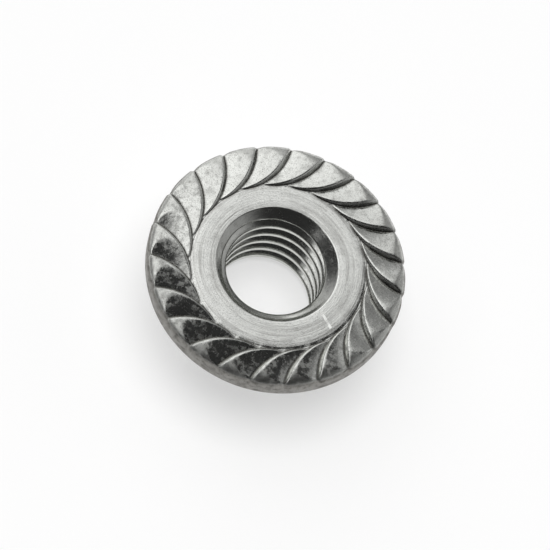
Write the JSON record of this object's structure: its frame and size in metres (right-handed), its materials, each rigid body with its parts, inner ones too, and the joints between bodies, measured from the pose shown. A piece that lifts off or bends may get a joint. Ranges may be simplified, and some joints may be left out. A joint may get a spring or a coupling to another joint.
{
  "type": "serrated flange nut",
  "caption": "Hexagon nut with a round washer-like flange, curved ratchet serrations round its flat bearing ring, and a countersunk threaded hole.",
  "frame": {"origin": "middle of the plain hexagon end face, on the nut's axis", "axes": "+Z along the nut's axis towards the serrated bearing face, +X through a corner of the hexagon"},
  "size_m": [0.0178, 0.0178, 0.0079],
  "materials": {
    "zinc_plated_steel": "bright zinc plate with faint turning marks and handling stains"
  },
  "bodies": {
    "root": {"flange_nut": "zinc_plated_steel"}
  },
  "joints": []
}
